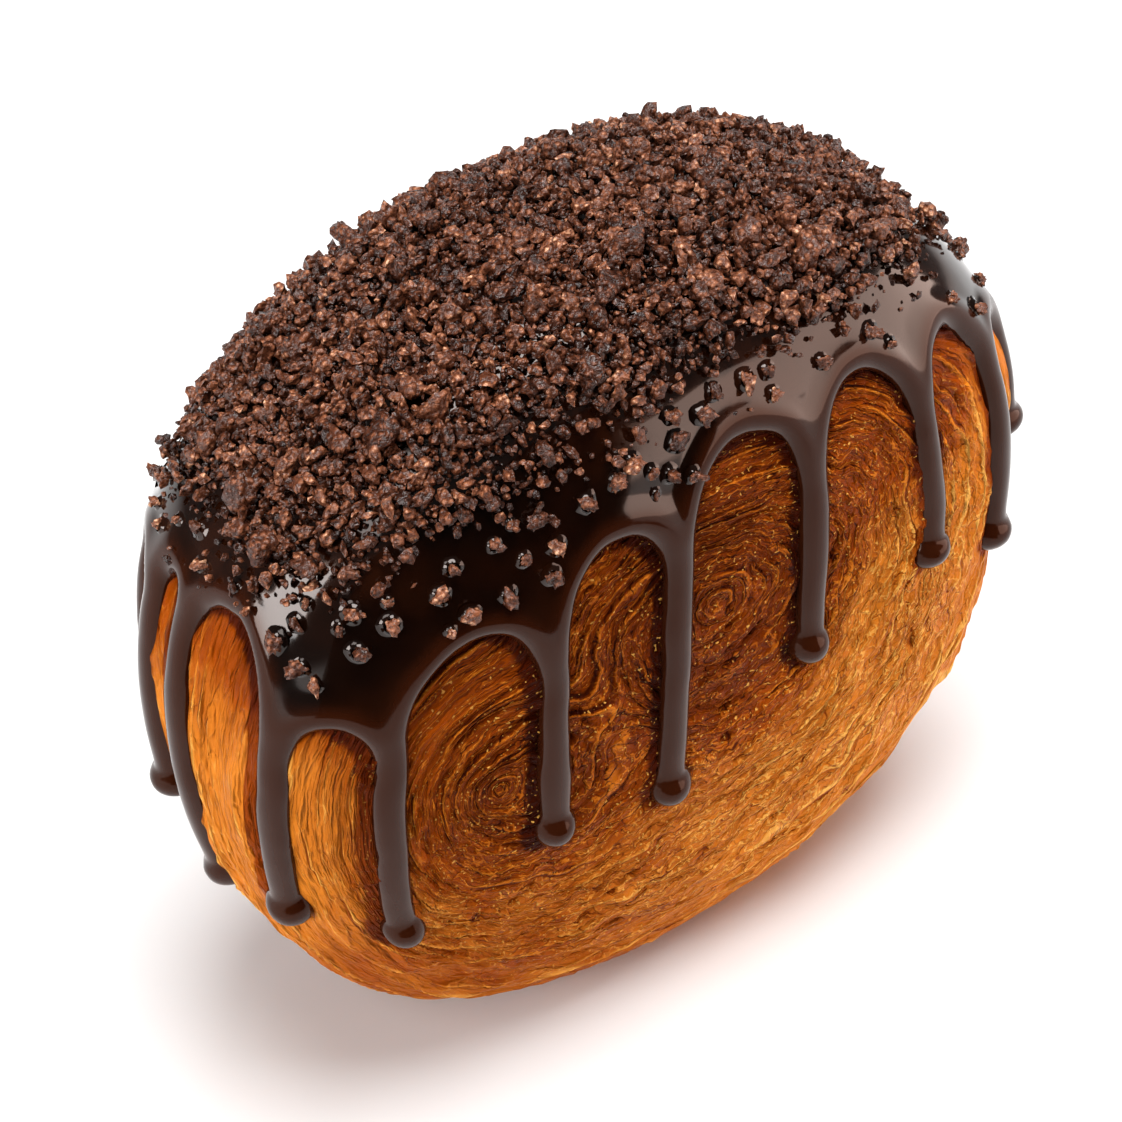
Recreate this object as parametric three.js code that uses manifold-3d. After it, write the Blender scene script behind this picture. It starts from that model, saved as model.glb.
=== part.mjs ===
// A croissant roll: a wheel of rolled, layered dough, baked standing on its edge. It was dipped from above in
// dark chocolate glaze, which ran down in long drips, and strewn with biscuit crumbs while the glaze was wet.
// Millimetres. +Z is up, the coiled faces look along -Y and +Y, and the wheel's flat foot lies on Z = 0.
import * as THREE from "three";
import { mergeVertices } from "three/addons/utils/BufferGeometryUtils.js";
import Module from "manifold-3d";

// ---- the dough ----
const DOUGH_WIDTH = 116; // along X
const DOUGH_THICKNESS = 55; // along Y, between the coiled faces
const DOUGH_ABOVE = 51.2; // from the wheel's middle up to the top of the dough
const DOUGH_BELOW = 59.3; // from the middle down to the round bottom, before the foot is pressed flat
const FOOT_PRESSED = 2.7; // how much the foot is pressed flat
const OUTLINE_POWER = 2.21; // 2 would make the wheel's outline an ellipse, more makes it squarer
const SECTION_POWER = 3.18; // the same for the section across the thickness

// The layers of dough wind round a point above the middle of each face.
const COIL_X = -4;
const COIL_ABOVE = 15;
const LAYER_EDGES = 18; // edges of layers from the middle of one face over the rim to the other
const GROOVE_DEPTH = [0.5, 1.7]; // between two layer edges, shallowest and deepest
const DOUGH_COLUMNS = 60;
// Within these rings of a face's middle, a quarter and half of the columns are left.
const COIL_EYE_RINGS = [2, 5];

// ---- the glaze ----
const GLAZE_GAP = 0.55; // left between the glaze and the dough's uncut surface
const GLAZE_THICKNESS = 1.6;
const GLAZE_HOLLOWED = 0.7; // how much of that the shell leaves out on its inner side, above its edge
const BEAD_THICKNESS = 2; // the rolled edge where the glaze stopped
const RUN_NECK = 2; // half the width of a run, halfway down
const RUN_BULB = 2.7; // half the width of the drop at its end
const RUN_FLARE = 1.1; // added to half the width where a run leaves the glaze's edge
const RUN_START = 9; // how far below the arches beside it a run is clear of the glaze
const RUN_ROOT = 7.5; // how far a run reaches up into the glaze from there
const RUN_SUNK_ROOT = 0.6; // share of its thickness that a run loses up there, to end inside the glaze
const RUN_COLUMNS = 7;
const RUN_RINGS = [0, 0.03, 0.25, 0.5, 0.76, 0.89, 0.96, 1]; // shares of the way down to the tip
const ARCH_POWER = 2.4; // 2 would make an arch between two runs elliptical
const ARCH_SHARES = [0, 0.14, 0.37, 0.63, 0.86]; // the columns of the glaze, along each arch
const SKIRT = 5; // above the arches, where the glaze's rings begin to follow the arches
// The rings of the glaze's outer and inner side. Down to the skirt they are shares of the way from the top,
// and from 1 to 2 they go on to the edge. The bead is on the outer side's last ring but one.
const OUTER_RINGS = [0, 0.2, 0.4, 0.6, 0.8, 1, 1.75, 2];
const INNER_RINGS = [2, 1.6, 1, 0.78, 0.56, 0.34, 0];
const FEWER_COLUMNS = [0.5, 0.9]; // above these shares, a quarter and half of the columns are left

// The runs, anticlockwise from above: the angle where each hangs, in degrees from +X, the height of its tip,
// and the height of the arch between it and the next. The first ten show in front, from left to right.
const RUNS = [
  [164, 42, 77],
  [181, 31, 80],
  [212, 38, 71.5],
  [229, 35, 80],
  [246, 45, 86],
  [261, 42, 92],
  [281, 54, 92],
  [299, 58, 90],
  [315, 48, 83],
  [333, 60, 79],
  [351, 41, 77],
  [373, 55, 80],
  [392, 36, 76],
  [409, 50, 85],
  [425, 39, 90],
  [440, 59, 92],
  [457, 44, 89],
  [473, 36, 84],
  [489, 55, 78],
  [507, 40, 75],
].map(([angle, tip, arch]) => ({ angle: THREE.MathUtils.degToRad(angle), tip, arch }));

// ---- the crumbs ----
const CRUMBS = 100;
const CRUMB_RADIUS = [3.2, 1.8]; // the largest and the smallest
const LARGE_CRUMB = 2.2; // from this radius a crumb has twenty faces, and under it twelve
const CRUMB_BARE_BAND = 8; // glaze left bare above its edge
const CRUMB_SUNK = 0.35; // share of its radius that a crumb has sunk into the glaze
const CRUMB_RAGGED = 0.2; // how much its corners differ in reach
const CRUMB_BUMP = 1.1; // the highest of the low bumps that finer crumbs make between them

const halfWidth = DOUGH_WIDTH / 2;
const halfThickness = DOUGH_THICKNESS / 2;
const middleHeight = DOUGH_BELOW - FOOT_PRESSED;
const fullTurn = 2 * Math.PI;

// A repeatable draw between two values.
let seed = 20731;
function draw(low, high) {
  seed = (Math.imul(seed, 1664525) + 1013904223) >>> 0;
  return low + ((high - low) * seed) / 2 ** 32;
}

// How far out a point lies from the wheel's middle: 1 on the surface of the dough.
function reach({ x, y, z }) {
  const height = z > 0 ? DOUGH_ABOVE : DOUGH_BELOW;
  const outline = Math.abs(x / halfWidth) ** OUTLINE_POWER + Math.abs(z / height) ** OUTLINE_POWER;
  const section = outline ** (SECTION_POWER / OUTLINE_POWER) + Math.abs(y / halfThickness) ** SECTION_POWER;
  return section ** (1 / SECTION_POWER);
}

// The way straight out of the dough at a point, from the slope of reach.
function outward(point) {
  const step = 0.01;
  const slope = ["x", "y", "z"].map((axis) => {
    const ahead = point.clone();
    const behind = point.clone();
    ahead[axis] += step;
    behind[axis] -= step;
    return reach(ahead) - reach(behind);
  });
  return new THREE.Vector3(...slope).normalize();
}

// The point of the dough's surface that lies in a direction from the wheel's middle, lifted off the dough.
function surface(direction, lift = 0) {
  const point = direction.clone().divideScalar(reach(direction));
  return point.addScaledVector(outward(point), lift);
}

// A closed skin with a pole at each end, like a globe's. place gives the point at a row and a column; seen
// from outside the first pole, the columns run anticlockwise. Where it gives several corners of the grid one
// point, as it may near a pole, the faces between them are dropped.
function globe(columns, rows, place) {
  const skin = new THREE.SphereGeometry(1, columns, rows);
  skin.deleteAttribute("normal");
  skin.deleteAttribute("uv");
  const corners = skin.getAttribute("position");
  for (let i = 0; i < corners.count; i++) {
    const row = Math.floor(i / (columns + 1));
    const column = (i % (columns + 1)) % columns;
    corners.setXYZ(i, ...place(row, column));
  }
  const joined = mergeVertices(skin, 1e-3);
  const faces = [];
  for (let i = 0; i < joined.index.count; i += 3) {
    const [a, b, c] = joined.index.array.subarray(i, i + 3);
    if (a !== b && b !== c && c !== a) faces.push(a, b, c);
  }
  return joined.setIndex(faces);
}

// The column that stands for another one where only every second or fourth is left.
function keptColumn(column, position, [quarter, half]) {
  const step = position < quarter ? 4 : position < half ? 2 : 1;
  return column - (column % step);
}

// The section of the wheel from the middle of its back face, over the rim, to the middle of its front face:
// the share of the way out to the rim, in millimetres of the outline's mean radius, against Y.
class Section extends THREE.Curve {
  getPoint(t, target = new THREE.Vector2()) {
    const turn = Math.PI * t;
    const out = Math.abs(Math.sin(turn)) ** (2 / SECTION_POWER);
    const across = Math.sign(Math.cos(turn)) * Math.abs(Math.cos(turn)) ** (2 / SECTION_POWER);
    return target.set(out * halfWidth, across * halfThickness);
  }
}

// The wheel of dough. Its rings follow the layers: every other ring is the floor of the groove between two
// layer edges, now deep and now shallow along the layer, and the foot is pressed flat.
function dough() {
  const rows = 2 * LAYER_EDGES;
  const rings = new Section().getSpacedPoints(rows);
  const grooves = rings.map((_, row) =>
    row % 2 ? { waves: Math.round(draw(3, 7)), start: draw(0, fullTurn), lean: draw(0, fullTurn) } : null,
  );
  const [shallow, deep] = GROOVE_DEPTH;
  return globe(DOUGH_COLUMNS, rows, (row, column) => {
    const fromFace = Math.min(row, rows - row);
    const turn = (fullTurn * keptColumn(column, fromFace, COIL_EYE_RINGS)) / DOUGH_COLUMNS;
    const out = rings[row].x / halfWidth;
    const rim = new THREE.Vector3(-halfWidth * Math.cos(turn), 0, DOUGH_BELOW * Math.sin(turn));
    rim.divideScalar(reach(rim));
    const coil = new THREE.Vector3(COIL_X, 0, COIL_ABOVE);
    const direction = coil.lerp(rim, out);
    direction.y = rings[row].y;
    let depth = 0;
    if (grooves[row]) {
      const { waves, start, lean } = grooves[row];
      const along = Math.sin(waves * turn + start) * Math.cos(2 * turn + lean);
      depth = THREE.MathUtils.lerp(shallow, deep, (along + 1) / 2);
    }
    const point = surface(direction, -depth);
    point.z = Math.max(point.z + middleHeight, 0);
    return point;
  });
}

// A direction from the wheel's middle, by the angle in plan and the tilt above the level of the middle.
function towards(angle, tilt) {
  const height = tilt > 0 ? DOUGH_ABOVE : DOUGH_BELOW;
  return new THREE.Vector3(
    halfWidth * Math.cos(angle) * Math.cos(tilt),
    halfThickness * Math.sin(angle) * Math.cos(tilt),
    height * Math.sin(tilt),
  );
}

// The tilt at which the dough's surface, straight down at an angle in plan, has a height above the foot.
function tiltAt(angle, height) {
  let [low, high] = [-Math.PI / 2, Math.PI / 2];
  for (let i = 0; i < 30; i++) {
    const tilt = (low + high) / 2;
    if (surface(towards(angle, tilt)).z + middleHeight > height) high = tilt;
    else low = tilt;
  }
  return low;
}

// The run at the far end of each arch is the next one in the list, and the last arch ends at the first run.
function nextRun(i) {
  const next = RUNS[(i + 1) % RUNS.length];
  return i + 1 < RUNS.length ? next : { ...next, angle: next.angle + fullTurn };
}

// The height at which a run leaves the edge of the glaze, below the lower of the arches beside it.
function shoulder(i) {
  const run = i % RUNS.length;
  return Math.min(RUNS[run].arch, RUNS.at(run - 1).arch) - RUN_START;
}

// How high the glaze's edge is at a share of the way along the arch that follows a run.
function edgeHeight(i, share) {
  const rise = (1 - Math.abs(2 * share - 1) ** ARCH_POWER) ** (1 / ARCH_POWER);
  return THREE.MathUtils.lerp(THREE.MathUtils.lerp(shoulder(i), shoulder(i + 1), share), RUNS[i].arch, rise);
}

// The glaze over the top: a thin shell down to its arched edge, with a bead along it. The outer side's rings
// come first, from the top down, and the inner side's follow, back up to the top. Fine crumbs make its outer
// side bumpy down to the skirt.
function glazeCap() {
  const rings = [...OUTER_RINGS, ...INNER_RINGS];
  const outer = OUTER_RINGS.length;
  const perRun = ARCH_SHARES.length;
  const bumps = rings.map(() => RUNS.flatMap(() => ARCH_SHARES.map(() => draw(0, CRUMB_BUMP))));
  return globe(RUNS.length * perRun, rings.length - 1, (row, gridColumn) => {
    const down = rings[row];
    const column = keptColumn(gridColumn, down, FEWER_COLUMNS);
    const i = Math.floor(column / perRun);
    const share = ARCH_SHARES[column % perRun];
    const angle = THREE.MathUtils.lerp(RUNS[i].angle, nextRun(i).angle, share);
    const skirt = tiltAt(angle, meanEdge(angle) + SKIRT);
    const edge = tiltAt(angle, edgeHeight(i, share));
    let tilt = THREE.MathUtils.lerp(Math.PI / 2, skirt, down);
    if (down > 1) tilt = THREE.MathUtils.lerp(skirt, edge, down - 1);
    let lift = GLAZE_GAP + GLAZE_THICKNESS;
    if (row > 0 && down < 1) lift += bumps[row][column];
    if (row === outer - 2) lift = GLAZE_GAP + BEAD_THICKNESS;
    if (row === outer - 1) lift = GLAZE_GAP + GLAZE_THICKNESS / 2;
    if (row === outer) lift = GLAZE_GAP;
    if (row > outer) lift = GLAZE_GAP + GLAZE_HOLLOWED;
    const point = surface(towards(angle, tilt), lift);
    point.z += middleHeight;
    return point;
  });
}

// One run of glaze: a rounded tongue that lies on the dough, wide where it leaves the edge, with a drop at
// its tip. Its rings go straight down the dough's surface, each half round and flat towards the dough.
function glazeRun(run, i) {
  const length = shoulder(i) + RUN_ROOT - run.tip;
  return globe(RUN_COLUMNS, RUN_RINGS.length - 1, (row, column) => {
    const aboveTip = (1 - RUN_RINGS[row]) * length;
    const belowBulb = THREE.MathUtils.clamp(1 - aboveTip / RUN_BULB, 0, 1);
    const closed = row === 0 ? 0 : Math.sqrt(1 - belowBulb ** 2);
    const swelling = (RUN_BULB - RUN_NECK) * THREE.MathUtils.clamp(2 - aboveTip / RUN_BULB, 0, 1);
    const flare = RUN_FLARE * THREE.MathUtils.clamp(1 - RUN_RINGS[row] / RUN_RINGS[3], 0, 1);
    const half = (RUN_NECK + swelling + flare) * closed;
    const rooted = THREE.MathUtils.clamp(1 - RUN_RINGS[row] / RUN_RINGS[2], 0, 1);
    const thick = (BEAD_THICKNESS + swelling / 2) * closed * (1 - RUN_SUNK_ROOT * rooted);
    const turn = (fullTurn * column) / RUN_COLUMNS;
    const point = surface(towards(run.angle, tiltAt(run.angle, run.tip + aboveTip)), GLAZE_GAP);
    const out = outward(point);
    const sideways = new THREE.Vector3(0, 0, 1).cross(out).normalize();
    point.addScaledVector(out, thick * Math.max(0, Math.cos(turn)));
    point.addScaledVector(sideways, half * Math.sin(turn));
    point.z += middleHeight;
    return point;
  });
}

// The height of the glaze's edge at any angle in plan, with the arches smoothed away.
function meanEdge(angle) {
  const first = RUNS[0].angle;
  const wrapped = first + ((((angle - first) % fullTurn) + fullTurn) % fullTurn);
  const i = RUNS.findLastIndex((run) => run.angle <= wrapped);
  const next = nextRun(i);
  return THREE.MathUtils.mapLinear(wrapped, RUNS[i].angle, next.angle, RUNS[i].arch, next.arch);
}

// One crumb: a ragged lump, sunk a little into the glaze.
function crumb(angle, tilt, radius) {
  const side = (radius * 2) / Math.sqrt(3);
  const large = radius > LARGE_CRUMB;
  const lump = large ? new THREE.IcosahedronGeometry(radius, 0) : new THREE.BoxGeometry(side, side, side);
  lump.rotateX(draw(0, fullTurn)).rotateZ(draw(0, fullTurn));
  lump.deleteAttribute("normal");
  lump.deleteAttribute("uv");
  const joined = mergeVertices(lump, 1e-3);
  const corners = joined.getAttribute("position");
  const middle = surface(towards(angle, tilt), GLAZE_GAP + GLAZE_THICKNESS + radius * (1 - 2 * CRUMB_SUNK));
  for (let i = 0; i < corners.count; i++) {
    const corner = new THREE.Vector3().fromBufferAttribute(corners, i);
    corner.multiplyScalar(draw(1 - CRUMB_RAGGED, 1 + CRUMB_RAGGED)).add(middle);
    corners.setXYZ(i, corner.x, corner.y, corner.z + middleHeight);
  }
  return joined;
}

// The crumbs lie evenly over the top, by the golden angle, each a little out of place and of any size.
function crumbs() {
  const goldenAngle = Math.PI * (3 - Math.sqrt(5));
  const [largest, smallest] = CRUMB_RADIUS;
  return Array.from({ length: CRUMBS }, (_, i) => {
    const angle = i * goldenAngle + draw(-0.06, 0.06);
    const out = ((i + 0.5) / CRUMBS) ** 0.56 * draw(0.96, 1.02);
    const lowest = tiltAt(angle, meanEdge(angle) + CRUMB_BARE_BAND);
    const tilt = Math.PI / 2 - Math.min(1, out) * (Math.PI / 2 - lowest);
    return crumb(angle, tilt, THREE.MathUtils.lerp(smallest, largest, draw(0, 1) ** 2));
  });
}

const wasm = await Module();
wasm.setup();

function solid(geometry) {
  return new wasm.Manifold(
    new wasm.Mesh({
      numProp: 3,
      vertProperties: geometry.getAttribute("position").array,
      triVerts: new Uint32Array(geometry.index.array),
    }),
  );
}

// The cap, its runs and the crumbs as one piece.
function glaze() {
  const pieces = [glazeCap(), ...RUNS.map(glazeRun), ...crumbs()].map(solid);
  const mesh = pieces.reduce((whole, piece) => whole.add(piece)).getMesh();
  return new THREE.BufferGeometry()
    .setAttribute("position", new THREE.BufferAttribute(mesh.vertProperties, 3))
    .setIndex(new THREE.BufferAttribute(mesh.triVerts, 1));
}

function piece(name, geometry, material) {
  geometry.computeVertexNormals();
  const mesh = new THREE.Mesh(geometry, new THREE.MeshStandardMaterial(material));
  mesh.name = name;
  return mesh;
}

const croissantRoll = new THREE.Group();
croissantRoll.name = "croissant_roll";
croissantRoll.add(
  piece("pastry_roll", dough(), { color: 0xb2652a, roughness: 0.55, metalness: 0 }),
  piece("chocolate_glaze", glaze(), { color: 0x2b1009, roughness: 0.12, metalness: 0 }),
);

export default croissantRoll;
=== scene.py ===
import itertools
import math

import bmesh
import bpy
import numpy as np
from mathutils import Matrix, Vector


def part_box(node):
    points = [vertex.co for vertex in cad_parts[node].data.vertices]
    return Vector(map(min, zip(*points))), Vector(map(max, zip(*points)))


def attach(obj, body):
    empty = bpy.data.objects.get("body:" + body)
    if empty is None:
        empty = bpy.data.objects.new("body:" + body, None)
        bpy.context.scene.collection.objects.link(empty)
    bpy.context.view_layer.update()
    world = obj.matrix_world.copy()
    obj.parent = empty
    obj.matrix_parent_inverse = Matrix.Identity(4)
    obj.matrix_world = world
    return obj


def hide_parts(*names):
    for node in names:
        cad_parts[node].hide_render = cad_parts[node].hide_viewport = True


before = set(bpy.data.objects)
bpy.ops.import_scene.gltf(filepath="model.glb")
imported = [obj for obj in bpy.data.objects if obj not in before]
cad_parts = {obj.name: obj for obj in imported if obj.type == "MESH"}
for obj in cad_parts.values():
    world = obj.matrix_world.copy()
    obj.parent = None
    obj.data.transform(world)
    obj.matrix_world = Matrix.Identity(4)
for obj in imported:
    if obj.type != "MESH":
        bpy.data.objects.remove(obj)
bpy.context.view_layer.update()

mm = 0.001

# ---- The view ----
# The camera looks down on the roll from its front left, with the long lens of a product photograph. The
# lights further down face the same place on the roll as the camera does.
LENS = 85  # its focal length and the width of the sensor, in millimetres
SENSOR = 36
CAMERA_AZIMUTH = math.radians(-35.27)
CAMERA_ELEVATION = math.radians(41.94)
CAMERA_DISTANCE = 337.4 * mm
NEAREST_SEEN = 10 * mm
LOOKED_AT = Vector((-2.67, 3.18, 55.2)) * mm

to_camera = Vector((
    math.sin(CAMERA_AZIMUTH) * math.cos(CAMERA_ELEVATION),
    -math.cos(CAMERA_AZIMUTH) * math.cos(CAMERA_ELEVATION),
    math.sin(CAMERA_ELEVATION),
))
camera_data = bpy.data.cameras.new("camera")
camera_data.lens = LENS
camera_data.sensor_width = SENSOR
camera_data.clip_start = NEAREST_SEEN
camera = bpy.data.objects.new("camera", camera_data)
camera.location = LOOKED_AT + to_camera * CAMERA_DISTANCE
camera.rotation_euler = to_camera.to_track_quat("Z", "Y").to_euler()
bpy.context.scene.collection.objects.link(camera)
bpy.context.scene.camera = camera

# ---- The dough ----
# A strip of laminated dough, rolled up into a wheel and baked standing on its edge: thin flaky layers that
# wind round two eyes on each face and run round the rim. Browned on the faces, paler where it swelled most.
DOUGH_BELOW = 59.3 * mm  # from the wheel's middle down to the round bottom, before the foot is pressed flat
FOOT_PRESSED = 2.7 * mm
OUTLINE_POWER = 2.21  # of the wheel's outline: an ellipse has 2, and more is squarer
SECTION_POWER = 3.18  # of the section from a face to the rim
SECTION_STEPS = 400
# The cells of the dough's skin: across, through and up to where the glaze hides it, and above that.
CELLS = (250, 96, 236)
CELLS_HIDDEN = 8
HIDDEN_FROM = 0.8  # as a share of the skin's lattice, from its middle up
# The eyes that the layers wind round, on the front and the back face: across, above the middle, and how far
# off the first layer starts, as a share of the way out to the rim.
FRONT_EYES = [(-1.9 * mm, 11.6 * mm, 0), (-25.4 * mm, 0.3 * mm, 0.09)]
BACK_EYES = [(5 * mm, 10 * mm, 0.02), (28 * mm, -3 * mm, 0.12)]
EYES_BLENDED = 0.07  # how softly the layers of one eye pass into another's
LARGEST_LAYER = 4.0  # further out than any layer is looked for, as a share of the way to the rim
LAYER_HALVINGS = 24
# The course of the layers, in millimetres.
RIM_HALF = 34  # how far from the rim's middle the layers are thicker
RIM_THICKER = 0.45
CRUMPLED = (16, 44)  # how far from the rim's middle the layers start to crumple, and are crumpled fully
RIM_STRETCH = 0.42  # how much of its pattern a length of layer holds on the rim
# The waves that bend the layers: their length, how far they bend the rim's layers, and how much further they
# bend crumpled ones.
BENDS = [(19, 0.9, 0.7), (7, 0.25, 0.75), (2.6, 0.05, 0.45)]
# The relief of the layers, in millimetres. Of the folded layers, wide and narrow: the seed, how far one is
# from the next, how high its free edge stands, and how far it runs.
FOLDS = {"wide_fold": (11, 2.6, 0.58, 10), "narrow_fold": (23, 1.3, 0.42, 6)}
FOLD_EDGE = 0.78  # as a share of a fold: where its free edge breaks off
RIM_RELIEF = 1.8  # how much bolder the folds are on the rim
RIDGE_HEIGHT = 0.24
LUMP_HEIGHT = 0.22
PIT_DEPTH = 0.5
SWELL_HEIGHT = 0.45
RAISED = 0.12  # how far the layers lie above the smooth dough on the whole
# Where the dough is paler or browner: the place where that starts, and the place where it is full. The first
# and the last are from the rim's middle, along the section, and the heights are from the wheel's middle.
PALE_RIM = (64 * mm, 44 * mm)
PALE_RIGHT_HALF = (-30 * mm, 25 * mm)
PALE_LEFT_END = (-46 * mm, -56 * mm)
BROWN_ABOVE = (2 * mm, 24 * mm)
BROWN_LEFT_OF = (46 * mm, 34 * mm)
PALE_RIGHT_END = (14 * mm, 40 * mm)
PALE_BELOW = (20 * mm, 0)
PALE_END_RIM = (60 * mm, 48 * mm)
# Colours from the most browned faces to the pale rim: of a layer, of its free edges, lighter as a painted
# highlight, and deep in its cracks, darker as a painted shade.
BROWNING = [0, 0.45, 1]
LAYER_COLOURS = [(0.152, 0.0225, 0.0006), (0.31, 0.053, 0.0011), (0.66, 0.195, 0.017)]
EDGE_HIGHLIGHT_COLOURS = [(0.48, 0.120, 0.008), (0.72, 0.215, 0.016), (0.95, 0.49, 0.10)]
CRACK_SHADE_COLOURS = [(0.032, 0.0035, 0.0004), (0.085, 0.0095, 0.0005), (0.28, 0.045, 0.0015)]

dough_low, dough_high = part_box("pastry_roll")
half_width = (dough_high.x - dough_low.x) / 2
half_thickness = (dough_high.y - dough_low.y) / 2
middle_height = DOUGH_BELOW - FOOT_PRESSED
dough_above = dough_high.z - middle_height


def outline(across, up):
    """How far out a point of the wheel's face lies: 1 on its outline."""
    height = np.where(up > 0, dough_above, DOUGH_BELOW)
    share = np.abs(across / half_width) ** OUTLINE_POWER + np.abs(up / height) ** OUTLINE_POWER
    return share ** (1 / OUTLINE_POWER)


def reach(points):
    """How far out a point lies from the wheel's middle: 1 on the surface of the dough."""
    x, y, z = np.moveaxis(points, -1, 0)
    section = outline(x, z) ** SECTION_POWER + np.abs(y / half_thickness) ** SECTION_POWER
    return section ** (1 / SECTION_POWER)


def outward(points):
    """The way straight out of the dough at each point."""
    step = 0.01 * mm
    slope = np.stack([reach(points + step * axis) - reach(points - step * axis) for axis in np.eye(3)], -1)
    return slope / np.linalg.norm(slope, axis=-1, keepdims=True)


def smooth_step(low, high, value):
    """0 at low, 1 at high, and smooth between them."""
    share = np.clip((value - low) / (high - low), 0, 1)
    return share * share * (3 - 2 * share)


def least(first, second, softness):
    """The smaller of two values, with a soft change between them."""
    share = np.clip(0.5 + (second - first) / (2 * softness), 0, 1)
    return second + (first - second) * share - softness * share * (1 - share)


def halved(low, high, steps, holds):
    """How far up from low each value still holds, found by halving the range to high."""
    for _ in range(steps):
        middle = (low + high) / 2
        held = holds(middle)
        low, high = np.where(held, middle, low), np.where(held, high, middle)
    return low


# Primes that turn the numbers of a cell of noise into one random number, and the bits kept of it.
SEED_PRIME, CELL_PRIME, AXIS_PRIME, LAST_PRIME = 7919, 374761393, 668265263, 1274126177
BITS = 0xFFFFFFFF
BITS_USED = 0xFFFF


def noise(seed, *coordinates):
    """Smooth noise from -1 to 1, one cell to a unit of each coordinate."""
    points = np.stack(np.broadcast_arrays(*coordinates), -1)
    cell = np.floor(points)
    part = points - cell
    part = part ** 3 * (part * (part * 6 - 15) + 10)
    cell = cell.astype(np.int64)
    total = 0
    for corner in itertools.product((0, 1), repeat=points.shape[-1]):
        mixed = np.full(points.shape[:-1], seed * SEED_PRIME + 17, np.int64)
        weight = 1
        for axis, high in enumerate(corner):
            mixed = (mixed * CELL_PRIME + (cell[..., axis] + high) * AXIS_PRIME) & BITS
            mixed = ((mixed ^ (mixed >> 13)) * LAST_PRIME) & BITS
            weight = weight * (part[..., axis] if high else 1 - part[..., axis])
        total = total + weight * ((mixed ^ (mixed >> 16)) & BITS_USED)
    return total / (BITS_USED // 2) - 1


def section_lengths():
    """The wheel's section from the middle of a face to the middle of the rim: how far each step leans over
    to the rim, and the length along the section up to there."""
    turn = np.linspace(0, math.pi / 2, SECTION_STEPS)
    out = np.sin(turn) ** (2 / SECTION_POWER)
    across = np.cos(turn) ** (2 / SECTION_POWER) * half_thickness
    length = np.concatenate([[0], np.cumsum(np.hypot(np.diff(out * half_width), np.diff(across)))])
    return np.arctan2(out, across / half_thickness), length


def eye_share(flat_x, flat_z, eye):
    """How far out the layer through each point of a face is wound: 0 at its eye and 1 at the rim. Each layer
    has the wheel's outline, shrunk towards the eye."""
    eye_x, eye_z, start = eye
    across, up = flat_x - eye_x, flat_z - eye_z

    def outside(size):
        """Whether each point lies outside the outline that is shrunk to a size."""
        return outline(across + size * eye_x, up + size * eye_z) > size

    share = halved(np.zeros(len(across)), np.full(len(across), LARGEST_LAYER), LAYER_HALVINGS, outside)
    return start + (1 - start) * share


def layer_places(points):
    """Where each point of the dough lies across its layers: 0 along the middle of the rim, and the length of
    dough from there to each face, less than 0 in front. Also how far it lies from the middle of the rim."""
    x, y, z = points.T
    lean, length = section_lengths()
    out = outline(x, z)
    from_face = np.interp(np.arctan2(out, np.abs(y) / half_thickness), lean, length)
    share = from_face / length[-1]
    flat_x = x / np.maximum(out, 1e-6) * share
    flat_z = z / np.maximum(out, 1e-6) * share
    place = np.zeros(len(points))
    for side, way, eyes in ((y <= 0, -1, FRONT_EYES), (y > 0, 1, BACK_EYES)):
        first, second = (eye_share(flat_x[side], flat_z[side], eye) for eye in eyes)
        place[side] = (1 - least(second, first, EYES_BLENDED)) * length[-1] * way
    return place, length[-1] - from_face


def lattice_skin():
    """A closed skin over a box, pushed onto the dough's surface: corners, faces, and the side of the box
    that each face lies on. Rows are close together up to where the glaze hides them."""
    across, through, shown = CELLS
    shown_rows = np.linspace(-1, HIDDEN_FROM, shown + 1)
    hidden_rows = np.linspace(HIDDEN_FROM, 1, CELLS_HIDDEN + 1)[1:]
    rows = np.concatenate([shown_rows, hidden_rows])
    steps = [np.linspace(-1, 1, across + 1), np.linspace(-1, 1, through + 1), rows]
    even = [np.tan(step * math.pi / 4) for step in steps]
    sizes = [len(step) for step in steps]
    quads, sides = [], []
    for axis in range(3):
        u, v = (axis + 1) % 3, (axis + 2) % 3
        for end in (0, sizes[axis] - 1):
            grid_u, grid_v = np.meshgrid(np.arange(sizes[u] - 1), np.arange(sizes[v] - 1), indexing="ij")
            around = [(0, 0), (1, 0), (1, 1), (0, 1)] if end else [(0, 0), (0, 1), (1, 1), (1, 0)]
            quad = []
            for step_u, step_v in around:
                index = [None] * 3
                index[axis] = np.full_like(grid_u, end)
                index[u] = grid_u + step_u
                index[v] = grid_v + step_v
                quad.append((index[0] * sizes[1] + index[1]) * sizes[2] + index[2])
            quads.append(np.stack(quad, -1).reshape(-1, 4))
            sides += [(axis, end > 0)] * grid_u.size
    corners, faces = np.unique(np.concatenate(quads), return_inverse=True)
    i, j, k = corners // (sizes[1] * sizes[2]), corners // sizes[2] % sizes[1], corners % sizes[2]
    height = np.where(even[2][k] > 0, dough_above, DOUGH_BELOW) * even[2][k]
    directions = np.stack([half_width * even[0][i], half_thickness * even[1][j], height], -1)
    return directions / reach(directions)[:, None], faces.reshape(-1, 4), np.array(sides)


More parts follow.
